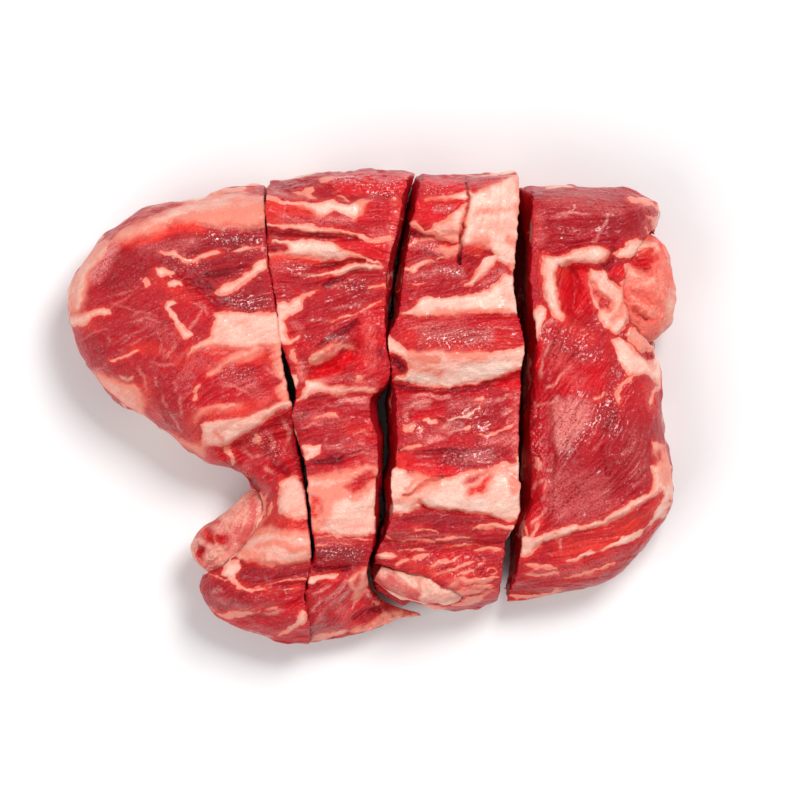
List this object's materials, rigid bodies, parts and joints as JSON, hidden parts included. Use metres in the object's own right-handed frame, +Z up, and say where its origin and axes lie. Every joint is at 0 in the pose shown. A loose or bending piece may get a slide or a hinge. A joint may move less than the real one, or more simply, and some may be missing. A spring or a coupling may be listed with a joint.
{
  "type": "beef neck bone",
  "caption": "Raw meaty neck bone, sawn across into thick slices that lie together as the whole piece, muscle side up, with bone ends showing at the notch, the near corner and the end.",
  "frame": {"origin": "on the surface the piece lies on, under the middle of its box", "axes": "+X along the neck from the wide lobe of the first slice to the joint end of the fourth, +Y along the saw cuts, +Z up out of the muscle side"},
  "size_m": [0.1962, 0.1533, 0.0477],
  "materials": {
    "lean_and_fat": "raw moist meat: red lean with cream and pink fat",
    "bone": "fresh bone and cartilage, pinkish beige, damp"
  },
  "bodies": {
    "root": {"slice_1": "lean_and_fat", "slice_2": "lean_and_fat", "slice_3": "lean_and_fat", "slice_4": "lean_and_fat", "bone_1": "bone", "bone_3": "bone", "bone_4": "bone"}
  },
  "joints": []
}
